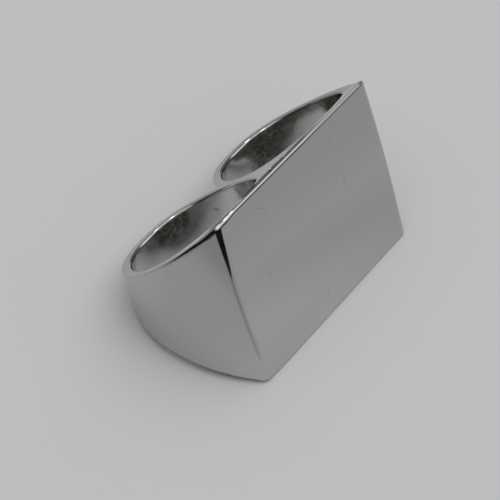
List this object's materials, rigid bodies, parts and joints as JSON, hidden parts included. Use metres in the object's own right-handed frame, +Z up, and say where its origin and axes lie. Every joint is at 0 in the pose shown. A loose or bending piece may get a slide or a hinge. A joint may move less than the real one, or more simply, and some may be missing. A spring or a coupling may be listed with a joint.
{
  "type": "double finger ring",
  "caption": "One-piece polished ring worn on two neighbouring fingers: a flat rectangular plate on top and side-by-side bands that narrow towards the palm.",
  "frame": {"origin": "on the table, under the middle of the ring's box as it rests on its side", "axes": "+X along the plate, +Y from the plate towards the palm, +Z up from the table; the plate leans back 26.2 degrees, so the fingers' axis is (0, 0.442, 0.897)"},
  "size_m": [0.0436, 0.026, 0.0233],
  "materials": {
    "polished_silver": "polished silver with soft rounded edges, a few fine marks and grey tarnish inside the finger holes"
  },
  "bodies": {
    "root": {"double_ring": "polished_silver"}
  },
  "joints": []
}
